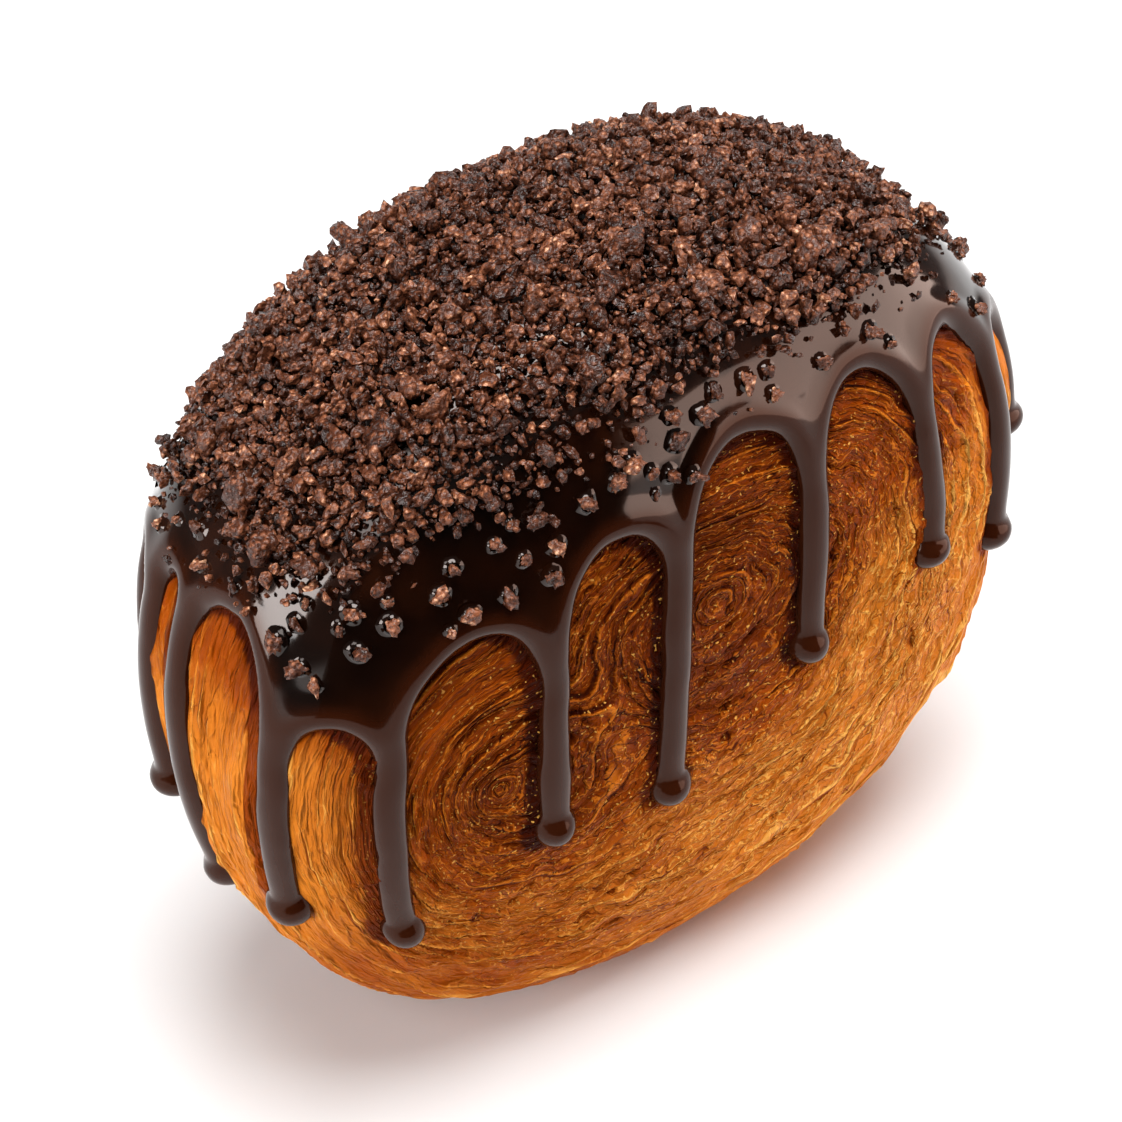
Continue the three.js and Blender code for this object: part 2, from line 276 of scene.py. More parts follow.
def layer_course(points, place, from_rim):
    """Where each point lies across its layers and along them, in millimetres, once they are crumpled. The
    layers are thicker and run straighter on the rim. Also how crumpled they are there, from 0 to 1."""
    x, y, z = points.T / mm
    crumpled = smooth_step(*CRUMPLED, from_rim / mm)
    wide = np.abs(place) / mm
    across = np.sign(place) * (wide - RIM_THICKER * np.minimum(wide, RIM_HALF))
    for seed, (wave, bend, more_bend) in enumerate(BENDS, 1):
        across = across + (bend + more_bend * crumpled) * noise(seed, x / wave, y / wave, z / wave)
    stretch = RIM_STRETCH + (1 - RIM_STRETCH) * crumpled
    return across, x * stretch, (z + y) * stretch, crumpled


def layer_relief(across, along, up, crumpled):
    """How far the flaky layers stand out of the smooth dough at each point. Also what the material needs:
    the count of wide and of narrow folds up to there, how far each stands free, and how deep a pit is."""

    def layered(seed, thickness, run):
        """Noise in lumps of a thickness across the layers, which run further along them."""
        return noise(seed, across / thickness, along / run, up / run)

    relief = np.zeros(len(across))
    kept = {}
    for name, (seed, pitch, height, run) in FOLDS.items():
        count = across / pitch + 0.45 * layered(seed, 2 * pitch, run)
        free = smooth_step(-0.2, 0.6, layered(seed + 1, 1.3 * pitch, run))
        part = count - np.floor(count)
        broken = smooth_step(FOLD_EDGE, 1, part)
        slope = (0.15 + free) * part ** 1.3 * (1 - broken)
        crack = 1.3 * free * broken * (1 - broken)
        relief += height * (RIM_RELIEF - (RIM_RELIEF - 1) * crumpled) * (slope - crack)
        kept[name] = count
        kept[name + "_free"] = free
    ridges = 1 - 2 * np.abs(layered(41, 1.3, 4.5))
    relief += RIDGE_HEIGHT * ridges + LUMP_HEIGHT * layered(51, 2.2, 3.5)
    pitted_areas = smooth_step(-0.2, 0.4, layered(62, 9, 9)) * crumpled
    kept["pit"] = smooth_step(0.5, 0.8, layered(61, 1.3, 2.6)) * pitted_areas
    relief += SWELL_HEIGHT * layered(71, 9, 22) + RAISED - PIT_DEPTH * kept["pit"]
    return relief * mm, kept


def paleness(points, place):
    """How pale the oven left the dough, from 0 on the faces to 1 on the rim. The ends of the wheel are the
    palest, and the upper part of its rim is browner."""
    x, _, z = points.T
    from_rim = np.abs(place)
    strength = 0.6 + 0.4 * smooth_step(*PALE_RIGHT_HALF, x) + 0.42 * smooth_step(*PALE_LEFT_END, x)
    browner = 0.75 * smooth_step(*BROWN_ABOVE, z) * smooth_step(*BROWN_LEFT_OF, x)
    right_end = smooth_step(*PALE_RIGHT_END, x) * smooth_step(*PALE_BELOW, z)
    right_end = right_end * smooth_step(*PALE_END_RIM, from_rim)
    pale = smooth_step(*PALE_RIM, from_rim) * strength * (1 - browner) + 0.8 * right_end
    return np.minimum(pale, 1)


def mesh_piece(name, corners, faces, smooth=True):
    """A piece from arrays of corners, in metres, and of faces with equal numbers of corners."""
    mesh = bpy.data.meshes.new(name)
    mesh.vertices.add(len(corners))
    mesh.vertices.foreach_set("co", np.asarray(corners, np.float32).ravel())
    sides = faces.shape[1]
    mesh.loops.add(faces.size)
    mesh.loops.foreach_set("vertex_index", np.asarray(faces, np.int32).ravel())
    mesh.polygons.add(len(faces))
    mesh.polygons.foreach_set("loop_start", np.arange(0, faces.size, sides, dtype=np.int32))
    mesh.polygons.foreach_set("use_smooth", np.full(len(faces), smooth))
    mesh.update(calc_edges=True)
    mesh.validate()
    piece = bpy.data.objects.new(name, mesh)
    bpy.context.scene.collection.objects.link(piece)
    return piece


def store(piece, name, values):
    """Keeps one value for each corner of a piece, for its material."""
    kept = piece.data.attributes.new(name, "FLOAT", "POINT")
    kept.data.foreach_set("value", np.asarray(values, np.float32))


def corner_normals(corners, faces):
    """The way that a skin of quads faces at each corner."""
    a, b, c, d = (corners[faces[:, i]] for i in range(4))
    facing = np.cross(c - a, d - b)
    total = np.stack([np.bincount(faces.ravel(), np.repeat(way, 4), len(corners)) for way in facing.T], -1)
    return total / np.maximum(np.linalg.norm(total, axis=1, keepdims=True), 1e-15)


class Value:
    """One number of a finish, as a socket. Sums on it add Math nodes to the finish."""

    def __init__(self, finish, socket):
        self.finish = finish
        self.socket = socket

    def __add__(self, other):
        return self.finish.maths("ADD", self, other)

    def __radd__(self, other):
        return self.finish.maths("ADD", other, self)

    def __sub__(self, other):
        return self.finish.maths("SUBTRACT", self, other)

    def __rsub__(self, other):
        return self.finish.maths("SUBTRACT", other, self)

    def __mul__(self, other):
        return self.finish.maths("MULTIPLY", self, other)

    def __rmul__(self, other):
        return self.finish.maths("MULTIPLY", other, self)

    def __truediv__(self, other):
        return self.finish.maths("DIVIDE", self, other)

    def between(self, low, high):
        """0 up to low, 1 from high on, and smooth between them."""
        settings = {"interpolation_type": "SMOOTHSTEP"}
        sources = {"Value": self, "From Min": low, "From Max": high}
        return self.finish.value("ShaderNodeMapRange", settings, sources)


class Finish:
    """A material with one glossy shader, whose sockets take numbers, colours or links."""

    def __init__(self, name):
        self.material = bpy.data.materials.new(name)
        self.material.use_nodes = True
        self.tree = self.material.node_tree
        self.shader = next(node for node in self.tree.nodes if node.type == "BSDF_PRINCIPLED")

    def node(self, kind, settings, sources):
        """Adds a node: its settings first, then the values or links of its sockets."""
        node = self.tree.nodes.new(kind)
        for setting, choice in settings.items():
            if setting == "stops":
                for i, (place, colour) in enumerate(choice):
                    stop = node.color_ramp.elements[i] if i < 2 else node.color_ramp.elements.new(place)
                    stop.position, stop.color = place, (*colour, 1)
            else:
                setattr(node, setting, choice)
        for socket, source in sources.items():
            self.feed(node.inputs[socket], source)
        return node

    def feed(self, socket, source):
        """Gives a socket a link, a colour or a number."""
        if isinstance(source, Value):
            source = source.socket
        if isinstance(source, bpy.types.NodeSocket):
            self.tree.links.new(source, socket)
        elif isinstance(source, tuple) and socket.type == "RGBA":
            socket.default_value = (*source, 1)
        else:
            socket.default_value = source

    def value(self, kind, settings, sources, output=0):
        return Value(self, self.node(kind, settings, sources).outputs[output])

    def maths(self, operation, *sources):
        return self.value("ShaderNodeMath", {"operation": operation}, dict(enumerate(sources)))

    def whole_place(self):
        """Where a point lies on the whole object."""
        return self.node("ShaderNodeTexCoord", {}, {}).outputs["Object"]

    def place(self, x, y, z):
        """A place for a texture, from three values."""
        return self.node("ShaderNodeCombineXYZ", {}, {"X": x, "Y": y, "Z": z}).outputs[0]

    def kept(self, name):
        """A value that the piece keeps at each of its corners."""
        return self.value("ShaderNodeAttribute", {"attribute_name": name}, {}, "Fac")

    def grain(self, place, size, detail, roughness):
        """Noise from 0 to 1 at a place, with lumps of one size."""
        sources = {"Vector": place, "Scale": 1 / size, "Detail": detail, "Roughness": roughness}
        return self.value("ShaderNodeTexNoise", {}, sources)

    def mix(self, factor, first, second):
        """One colour passing into another."""
        sources = {"Factor": factor, 6: first, 7: second}
        return self.node("ShaderNodeMix", {"data_type": "RGBA"}, sources).outputs[2]

    def ramp(self, factor, places, colours):
        """A colour that passes through several as a value grows."""
        settings = {"stops": list(zip(places, colours))}
        return self.node("ShaderNodeValToRGB", settings, {"Fac": factor}).outputs["Color"]

    def set(self, **sources):
        """Feeds the shader's sockets, by their names."""
        for name, source in sources.items():
            self.feed(self.shader.inputs[name.replace("_", " ")], source)

    def bump(self, height, depth):
        """Fine relief: a height from 0 to 1, and the depth that it stands for."""
        sources = {"Height": height, "Distance": depth}
        self.set(Normal=self.node("ShaderNodeBump", {}, sources).outputs["Normal"])


def baked_finish():
    """Browned flaky dough, with painted shade in its cracks and painted highlights along the edges of its
    layers, and a dull egg shine.
    """
    finish = Finish("baked_dough")
    whole_place = finish.whole_place()
    along, up, crumpled = finish.kept("along_layers"), finish.kept("up_layers"), finish.kept("crumpled")
    wrinkles = finish.grain(whole_place, 1.6 * mm, 2, 0.6)
    across = finish.kept("across_layers") + (wrinkles - 0.5) * (crumpled * 1.1 + 0.3)

    def strands(pitch, run, seed, width, detail):
        """Branching strands along the layers, from 1 on the crest of each down to 0 between them."""
        place = finish.place(across / pitch + seed, along / run, up / run)
        sway = finish.maths("ABSOLUTE", finish.grain(place, 1, detail, 0.55) - 0.5)
        return 1 - sway / width

    def fold(name):
        """Where each folded layer's free edge gets a painted highlight, and the crack behind it a painted
        shade.
        """
        free = finish.kept(name + "_free")
        part = finish.maths("FRACT", finish.kept(name))
        edge = part.between(0.60, 0.76) * (1 - part.between(0.78, 0.83)) * free
        return edge, part.between(0.80, 0.87) * (1 - part.between(0.93, 1.0)) * free

    wide_edge, wide_crack = fold("wide_fold")
    narrow_edge, narrow_crack = fold("narrow_fold")
    coarse = strands(1.9, 6.5, 3.1, 0.13, 2)
    fine = strands(0.95, 3.4, 8.7, 0.15, 2)
    hairs = strands(0.5, 2.4, 21.9, 0.17, 0)
    slits = strands(1.6, 6.0, 33.3, 0.10, 1)
    nicks = strands(0.8, 3.0, 45.1, 0.12, 1)
    blotches = finish.grain(whole_place, 8 * mm, 2, 0.6)
    flecks = finish.grain(finish.place(across / 2.4, along / 7, up / 7), 1, 2, 0.5)
    dots = finish.grain(whole_place, 0.42 * mm, 0, 0.5)

    # The colour of a layer's flat, of its lifted edges and strands, lighter as a painted highlight, and of
    # its cracks, slits, pits, the gaps between strands and the glaze's edge, darker as a painted shade.
    browning = finish.kept("pale") + (blotches - 0.5) * 0.6 + (flecks - 0.5) * 0.7
    lit_edges = wide_edge * 0.8 + narrow_edge * 0.6
    lit_edges = lit_edges + coarse.between(0.84, 0.97) * (crumpled * 0.4 + 0.2)
    lit_edges = lit_edges + fine.between(0.80, 0.97) * (crumpled * 0.3 + 0.25)
    lit_edges = lit_edges + hairs.between(0.75, 1.0) * crumpled * 0.3
    # Painted shade: the hollows darken towards the crack colours.
    shaded_hollows = finish.kept("pit") * 0.6 + wide_crack * 0.75 + narrow_crack * 0.65
    shaded_hollows = shaded_hollows + slits.between(0.80, 0.95) * (crumpled * 0.2 + 0.35)
    shaded_hollows = shaded_hollows + nicks.between(0.80, 0.97) * (crumpled * 0.3 + 0.15)
    shaded_hollows = shaded_hollows + (1 - fine.between(-0.4, 0.1)) * crumpled * 0.3
    # Painted shade along the glaze's edge.
    shaded_hollows = shaded_hollows + finish.kept("glaze_shade") * 0.85
    layer, edge, crack = (
        finish.ramp(browning, BROWNING, colours) for colours in (LAYER_COLOURS, EDGE_HIGHLIGHT_COLOURS, CRACK_SHADE_COLOURS)
    )
    # The painted highlight on the edges, then the painted shade in the hollows.
    colour = finish.mix(lit_edges.between(0.1, 1.0), layer, edge)
    colour = finish.mix(shaded_hollows.between(0.15, 0.9), colour, crack)

    # Painted highlights: glints painted on the crests of the fine strands, in the palest edge colour.
    painted_glints = dots.between(0.70, 0.76) * fine.between(0.3, 0.7) * crumpled
    colour = finish.mix(painted_glints * 0.85, colour, EDGE_HIGHLIGHT_COLOURS[2])
    finish.set(Base_Color=colour, Roughness=0.34 + hairs * 0.08, IOR=1.45, Specular_IOR_Level=0.03)
    height = coarse * 0.6 + fine * 0.32 + hairs * 0.1 + flecks * 1.2 + painted_glints * 0.25
    height = height + (wide_edge + narrow_edge) * 0.3 - shaded_hollows * 0.45
    finish.bump(height, 0.7 * mm)
    return finish.material


corners, faces, sides = lattice_skin()
place, from_rim = layer_places(corners)
across, along, up, crumpled = layer_course(corners, place, from_rim)
relief, shading = layer_relief(across, along, up, crumpled)
shading |= {"across_layers": across, "along_layers": along, "up_layers": up, "crumpled": crumpled}
shading["pale"] = paleness(corners, place)
corners = corners + outward(corners) * relief[:, None]
corners[:, 2] = np.maximum(corners[:, 2] + middle_height, 0)
normals = corner_normals(corners, faces)
dough_finish = baked_finish()
dough_pieces = []
for name, shown in (
    ("pastry_front", (sides == (1, 0)).all(1)),
    ("pastry_rim", sides[:, 0] != 1),
    ("pastry_back", (sides == (1, 1)).all(1)),
):
    used, own_faces = np.unique(faces[shown], return_inverse=True)
    piece = mesh_piece(name, corners[used], own_faces.reshape(-1, 4))
    piece.data.normals_split_custom_set_from_vertices(normals[used])
    for kept, values in shading.items():
        store(piece, kept, values[used])
    piece.data.materials.append(dough_finish)
    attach(piece, "root")
    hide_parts("pastry_roll")
    dough_pieces.append(piece)

# ---- The glaze ----
# Dark chocolate glaze, from dipping the top of the roll: a thin glossy skin with a rolled edge, which ran
# down in long drips between arches and set there. The crumbs were strewn on it while it was wet.
# The runs, anticlockwise from above: the angle where each hangs, in degrees from +X, the height of its tip,
# and the height of the arch between it and the next, in millimetres.
RUNS = [
    (161, 41, 78), (177, 31, 80), (209.5, 38, 71.5), (226.8, 34, 80), (246, 44, 86),
    (262, 42, 92), (282, 54, 92), (300.5, 58, 90), (317, 50, 83), (333, 60, 79),
    (351, 41, 77), (373, 55, 80), (392, 36, 76), (409, 50, 85), (425, 39, 90),
    (440, 59, 92), (457, 44, 89), (473, 36, 84), (489, 55, 78), (504, 40, 76),
]
RUN_HALF_WIDTH = 2.1 * mm
DROP_RADIUS = 2.75 * mm
DROP_BLUNT = 0.25 * mm  # how far the depth is evened out in a drop's middle
DROP_BLENDED = 0.9 * mm  # how softly a drop's edge passes into its run's
DROP_SWELL = 0.8 * mm
DROP_SWELL_WIDTH = 2.1 * mm
ARCH_RISE = 1.45  # the height of an arch's round top, in half widths
ARCH_POWER = 2.15
WEBBED = 2.2 * mm  # how softly two arches' edges meet in the run between them
# How the edge wanders, sideways and up: the seed of each wave, how far it goes, and its length along the
# roll and up, in millimetres.
WANDERS_SIDEWAYS = [(81, 0.4, 6, 11), (82, 0.12, 3, 5)]
WANDERS_UP = [(83, 0.5, 6, 6)]
BEAD_WIDTH = 2.5 * mm
BEAD_THICKNESS = 2.35 * mm
SKIN_THICKNESS = 1.85 * mm
SETTLED = 3 * mm  # behind the bead, where the glaze thins to its skin
WAVE_HEIGHT = 0.16 * mm
WAVE_LENGTH = 9 * mm
WAVES_FROM = 4 * mm  # how far inside the edge the skin's low waves are full
TUCKED = 0.9 * mm  # how far the skin goes on outside its edge, down into the dough
TUCK_SLOPE = 1.5
# The skin's lattice: columns round the roll, with close rows up to above all arches and a few over the top.
BELT_STEPS = 4001
BELT_TILT = 0.2
GLAZE_LOW = 27 * mm
GLAZE_SKIRT = 96 * mm
GLAZE_STEP = 0.4 * mm
CAP_ROWS = 26
TOP_TILT = math.pi / 2 - 0.004
TOP_DEPTH = 1.0  # further inside the edge than any place below the top
TILT_HALVINGS = 22
# The painted shade along the glaze's edge: how wide it is, and how far it is shifted so that it falls on the
# sides of the runs that face left.
GLAZE_SHADE_WIDTH = 1.3 * mm
GLAZE_SHADE_SHIFT = 0.7 * mm
# Colours of the glaze where it is darkest, where it is brownest and along its rolled edge, and the tint of
# its highlights.
GLAZE_DARK = (0.0034, 0.0009, 0.0003)
GLAZE_BROWN = (0.015, 0.0033, 0.0008)
GLAZE_EDGE = (0.027, 0.0058, 0.0018)
GLAZE_SHINE = (1, 0.70, 0.58)
# How far inside the edge its colour begins, and where it is full.
EDGE_COLOURED = (BEAD_WIDTH + 2 * mm, BEAD_WIDTH - 0.3 * mm)


def towards(angle, tilt):
    """A direction from the wheel's middle, by the angle in plan and the tilt above its level."""
    height = np.where(tilt > 0, dough_above, DOUGH_BELOW)
    return np.stack([
        half_width * np.cos(angle) * np.cos(tilt),
        half_thickness * np.sin(angle) * np.cos(tilt),
        height * np.sin(tilt),
    ], -1)


def on_dough(angle, tilt):
    """The point of the dough's surface in a direction from the wheel's middle."""
    points = towards(angle, tilt)
    return points / reach(points)[..., None]


def tilt_at(angle, height):
    """The tilt at which the dough's surface, at an angle in plan, has a height above the foot."""
    low, high = np.full(np.shape(angle), -math.pi / 2), np.full(np.shape(angle), math.pi / 2)

    def below(tilt):
        """Whether the dough's surface at a tilt lies below the height."""
        return on_dough(angle, tilt)[..., 2] + middle_height <= height

    return halved(low, high, TILT_HALVINGS, below)


belt_angle = np.linspace(0, 2 * math.pi, BELT_STEPS)
belt = on_dough(belt_angle, np.full(BELT_STEPS, BELT_TILT))
belt_length = np.concatenate([[0], np.cumsum(np.linalg.norm(np.diff(belt, axis=0), axis=1))])
girth = belt_length[-1]


def belt_place(angle):
    """The length along the roll's belt at an angle in plan."""
    return np.interp(np.mod(angle, 2 * math.pi), belt_angle, belt_length)


def wrapped(length):
    """A length along the belt, taken the short way round."""
    return np.mod(length + girth / 2, girth) - girth / 2


runs = [(belt_place(math.radians(angle)), tip * mm, arch * mm) for angle, tip, arch in RUNS]


def arch_depth(along, height, run, next_run):
    """How far outside the arch between two runs a place lies, in metres, less than 0 in its opening."""
    left, _, top = run
    half = np.mod(next_run[0] - left, girth) / 2 - RUN_HALF_WIDTH
    middle = left + half + RUN_HALF_WIDTH
    rise = ARCH_RISE * half
    out = np.abs(wrapped(along - middle)) / half
    up = np.maximum(height - (top - rise), 0) / rise
    size = np.maximum((out ** ARCH_POWER + up ** ARCH_POWER) ** (1 / ARCH_POWER), 1e-6)
    steep = np.hypot((out / size) ** (ARCH_POWER - 1) / half, (up / size) ** (ARCH_POWER - 1) / rise)
    return (size - 1) / np.maximum(steep, 1e-6)


def wandering(waves, along, height):
    """How far the glaze's edge wanders at a place, in metres."""
    total = 0
    for seed, far, length, rise in waves:
        total = total + far * noise(seed, along / mm / length, height / mm / rise)
    return total * mm


def glaze_depth(along, height):
    """How far inside the glaze's edge a place lies, in metres, less than 0 outside. Also how far from the
    middle of the nearest drop."""
    along = along + wandering(WANDERS_SIDEWAYS, along, height)
    height = height + wandering(WANDERS_UP, along, height)
    depth = arch_depth(along, height, runs[0], runs[1])
    for run, next_run in zip(runs[1:], runs[2:] + runs[:1]):
        depth = least(depth, arch_depth(along, height, run, next_run), WEBBED)
    ends = np.array([left for left, _, _ in runs])
    tips = np.array([tip for _, tip, _ in runs])
    away = wrapped(along[..., None] - ends)
    nearest = np.abs(away).argmin(-1)
    aside = np.take_along_axis(away, nearest[..., None], -1)[..., 0]
    above_drop = height - tips[nearest] - DROP_RADIUS
    from_drop = np.hypot(aside, above_drop)
    strip = np.minimum(depth, above_drop)
    drop = DROP_RADIUS + DROP_BLUNT - np.sqrt(from_drop ** 2 + DROP_BLUNT ** 2)
    return -least(-strip, -drop, DROP_BLENDED), from_drop


def wet_finish():
    """Chocolate glaze: nearly black brown, with a wet gloss that shows faint waves."""
    finish = Finish("chocolate_glaze_wet")
    place = finish.whole_place()
    clouds = finish.grain(place, 14 * mm, 2, 0.5)
    specks = finish.grain(place, 1.6 * mm, 2, 0.5)
    edge = finish.kept("edge")
    colour = finish.mix(clouds.between(0.35, 0.7), GLAZE_DARK, GLAZE_BROWN)
    colour = finish.mix(edge, colour, GLAZE_EDGE)
    roughness = 0.11 + (specks - 0.5) * 0.08
    finish.set(Base_Color=colour, Roughness=roughness, IOR=1.5, Specular_IOR_Level=0.2)
    finish.set(Specular_Tint=GLAZE_SHINE, Coat_Weight=0.55 - edge * 0.53, Coat_Roughness=0.06)
    finish.bump(clouds * 0.7 + specks * 0.03, 0.35 * mm)
    return finish.material


# A lattice over the dough, column by column round the roll. Below the top its rows are level and even.
columns = int(girth / GLAZE_STEP)
column_along = np.arange(columns) * girth / columns
row_height = np.arange(GLAZE_LOW, GLAZE_SKIRT, GLAZE_STEP)
place_along, place_up = np.meshgrid(column_along, row_height, indexing="ij")
depth, from_drop = glaze_depth(place_along, place_up)
around = np.concatenate([depth[-1:], depth, depth[:1]])
slope_along = (around[2:] - around[:-2]) / (2 * girth / columns)
slope_up = np.gradient(depth, row_height[1] - row_height[0], axis=1)
steepness = np.maximum(np.hypot(slope_along, slope_up), 1)

# The rolled edge: corners in the bead move towards the edge, where the bead is steep, and those outside it
# move onto the edge and down into the dough.
in_bead = np.clip(depth / BEAD_WIDTH, 0, 1) * math.pi / 2
rolled = np.where(depth < BEAD_WIDTH, BEAD_WIDTH * (1 - np.cos(in_bead)), depth)
shift = (np.where(depth < 0, 0, rolled) - depth) / steepness
settled = smooth_step(BEAD_WIDTH, BEAD_WIDTH + SETTLED, depth)
swell = DROP_SWELL * np.exp(-((from_drop / DROP_SWELL_WIDTH) ** 2)) * np.sin(in_bead)
lift = BEAD_THICKNESS * np.sin(in_bead) - (BEAD_THICKNESS - SKIN_THICKNESS) * settled
lift += TUCK_SLOPE * np.minimum(depth, 0) + swell
angles = np.interp(np.mod(place_along + shift * slope_along, girth), belt_length, belt_angle)
tilts = tilt_at(angles, place_up + shift * slope_up)

# Over the top the rows close in on one place, under the crumbs.
cap_share = np.arange(1, CAP_ROWS + 1) / CAP_ROWS
cap_shape = (columns, CAP_ROWS)
angles = np.concatenate([angles, np.repeat(angles[:, -1:], CAP_ROWS, 1)], 1)
tilts = np.concatenate([tilts, tilts[:, -1:] + (TOP_TILT - tilts[:, -1:]) * cap_share], 1)
lift = np.concatenate([lift, np.full(cap_shape, SKIN_THICKNESS)], 1)
depth = np.concatenate([depth, np.full(cap_shape, TOP_DEPTH)], 1)
glaze_points = on_dough(angles, tilts)
waves = noise(91, *np.moveaxis(glaze_points, -1, 0) / WAVE_LENGTH)
lift = lift + smooth_step(0, WAVES_FROM, depth) * WAVE_HEIGHT * waves
glaze_corners = glaze_points + outward(glaze_points) * lift[..., None]
glaze_corners[..., 2] += middle_height

rows = tilts.shape[1]
i, j = np.meshgrid(np.arange(columns), np.arange(rows - 1), indexing="ij")
after = (i + 1) % columns
quads = np.stack([i * rows + j, after * rows + j, after * rows + j + 1, i * rows + j + 1], -1).reshape(-1, 4)
quads = quads[(depth.ravel()[quads] > -TUCKED).all(1)]
used, own_faces = np.unique(quads, return_inverse=True)
glaze = mesh_piece("glaze_skin", glaze_corners.reshape(-1, 3)[used], own_faces.reshape(-1, 4))
store(glaze, "edge", smooth_step(*EDGE_COLOURED, depth).ravel()[used])
glaze_finish = wet_finish()
glaze.data.materials.append(glaze_finish)
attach(glaze, "root")
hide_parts("chocolate_glaze")

# Painted shade along the glaze's edge: the dough is darkened there, most on the sides of the runs that face
# left, where their shadows fall.
for piece in dough_pieces:
    dough_corners = np.empty(len(piece.data.vertices) * 3, np.float32)
    piece.data.vertices.foreach_get("co", dough_corners)
    x, y, z = dough_corners.reshape(-1, 3).astype(float).T
    dough_along = belt_place(np.arctan2(y / half_thickness, x / half_width))
    inside, _ = glaze_depth(dough_along + GLAZE_SHADE_SHIFT, z)
    store(piece, "glaze_shade", smooth_step(GLAZE_SHADE_WIDTH, 0, -inside))

# ---- The crumbs ----
# Dark biscuit, broken up and strewn on the wet glaze: large lumps, small lumps and fine grit. They cover the
# top, thin out a little above the glaze's edge, and the last few lie alone on the bare glaze.
random = np.random.default_rng(4217)
CRUMBS_TO = 99.6 * mm  # the height down to which crumbs cover the glaze, at its highest
CRUMBS_FALL = 0.0041 / mm  # how fast that height falls off along the roll
CRUMBS_CENTRE = 8 * mm
CRUMBS_RAGGED = 2.2 * mm  # how far that height wanders up and down
RAGGED_LENGTH = 5 * mm
CRUMBS_FADE = (-4 * mm, 8 * mm)  # above that height: where they start, and where they lie the closest
HEAPED_POWER = 2.2  # how much more closely they lie where the glaze is well covered
LONE_FROM = 12 * mm  # how far below the covered part the last lone crumbs lie
LONE_INSIDE = 3.4 * mm  # how far inside the glaze's edge they stay
LONE_LEFT = (16 * mm, -10 * mm)  # more of them lie at the left of this
# A crumb starts as a ball of radius 1.
CUT_DEPTHS = (0.5, 1.0)  # how far from its middle flat faces are cut
UNCUT_REACH = 1 / 0.75  # how far from its middle it reaches at the most
EDGE_SHARPNESS = 7
LUMPS_PER_RADIUS = 2.1
FINER = 2.1  # how much finer its small lumps are than its large ones
UNLIKE = 50  # how far apart in the noise two crumbs may lie, so that no two are alike
STRETCHES = (0.62, 1.25)  # how far it is pressed flat or drawn out, each way
CRUMB_TONES = (0.05, 0.38, 0.70, 0.95)
CRUMB_COLOURS = [(0.018, 0.0044, 0.0018), (0.086, 0.0240, 0.0100), (0.29, 0.100, 0.046), (0.95, 0.53, 0.31)]

# Any place on the glaze is as likely as another: its cells are drawn by their area.
across_cell = np.roll(glaze_corners, -1, 0)[:, :-1] - glaze_corners[:, :-1]
up_cell = glaze_corners[:, 1:] - glaze_corners[:, :-1]
cell_area = np.linalg.norm(np.cross(across_cell, up_cell), axis=-1)
x, y, z = np.moveaxis(glaze_corners[:, :-1], -1, 0)
ragged = CRUMBS_RAGGED * noise(101, x / RAGGED_LENGTH, y / RAGGED_LENGTH, z / RAGGED_LENGTH)
above_edge = z - (CRUMBS_TO - CRUMBS_FALL * (x - CRUMBS_CENTRE) ** 2) + ragged
covered = smooth_step(*CRUMBS_FADE, above_edge)
heaped = covered ** HEAPED_POWER
bare = smooth_step(-LONE_FROM, -LONE_FROM / 3, above_edge) * (1 - covered) * (depth[:, :-1] > LONE_INSIDE)
bare = bare * (0.2 + 0.8 * smooth_step(*LONE_LEFT, x))
laid = []  # every crumb so far: its place on the glaze and its radius


def strewn(where, tries, radii, skew, apart):
    """Places for crumbs on the glaze, the largest first, none closer to another than their sizes allow."""
    chance = (cell_area * where).ravel()
    cells = random.choice(chance.size, tries, p=chance / chance.sum())
    column, row = np.unravel_index(cells, cell_area.shape)
    share_across, share_up = random.uniform(0, 1, (2, tries, 1))
    points = glaze_corners[column, row] + share_across * across_cell[column, row]
    points = points + share_up * up_cell[column, row]
    smallest, largest = radii
    radii = np.sort(smallest + (largest - smallest) * random.uniform(0, 1, tries) ** skew)[::-1]
    places = np.array([place for place, _ in laid] or np.zeros((0, 3)))
    sizes = np.array([size for _, size in laid])
    chosen = []
    for point, radius in zip(points, radii):
        near = np.linalg.norm(places - point, axis=1) < apart * (sizes + radius)
        if not near.any():
            places, sizes = np.vstack([places, point]), np.append(sizes, radius)
            chosen.append((point, radius))
    laid.extend(chosen)
    return np.array([point for point, _ in chosen]), np.array([radius for _, radius in chosen])


def round_ball(splits):
    """The corners and faces of an even ball of radius 1."""
    ball = bmesh.new()
    bmesh.ops.create_icosphere(ball, subdivisions=splits, radius=1)
    corners = np.array([corner.co for corner in ball.verts])
    faces = np.array([[corner.index for corner in face.verts] for face in ball.faces])
    ball.free()
    return corners, faces


def nuggets(ball, places, radii, cuts, lumpy):
    """Broken nuggets at places: balls cut flat at random, with worn edges and small lumps. All corners,
    nugget by nugget."""
    count = len(radii)
    facings = random.normal(0, 1, (count, cuts, 3))
    facings /= np.linalg.norm(facings, axis=2, keepdims=True)
    depths = random.uniform(*CUT_DEPTHS, (count, 1, cuts))
    cut = np.maximum(np.einsum("vi,nci->nvc", ball, facings), 0) / depths
    out = ((cut ** EDGE_SHARPNESS).sum(2) + UNCUT_REACH ** -EDGE_SHARPNESS) ** (-1 / EDGE_SHARPNESS)
    x, y, z = np.moveaxis(ball[None] * LUMPS_PER_RADIUS + random.uniform(0, UNLIKE, (count, 1, 3)), -1, 0)
    out = out * (1 + lumpy * noise(111, x, y, z) + lumpy * noise(112, x * FINER, y * FINER, z * FINER))
    corners = ball[None] * out[..., None] * random.uniform(*STRETCHES, (count, 1, 3))
    return corners * radii[:, None, None] + places[:, None]


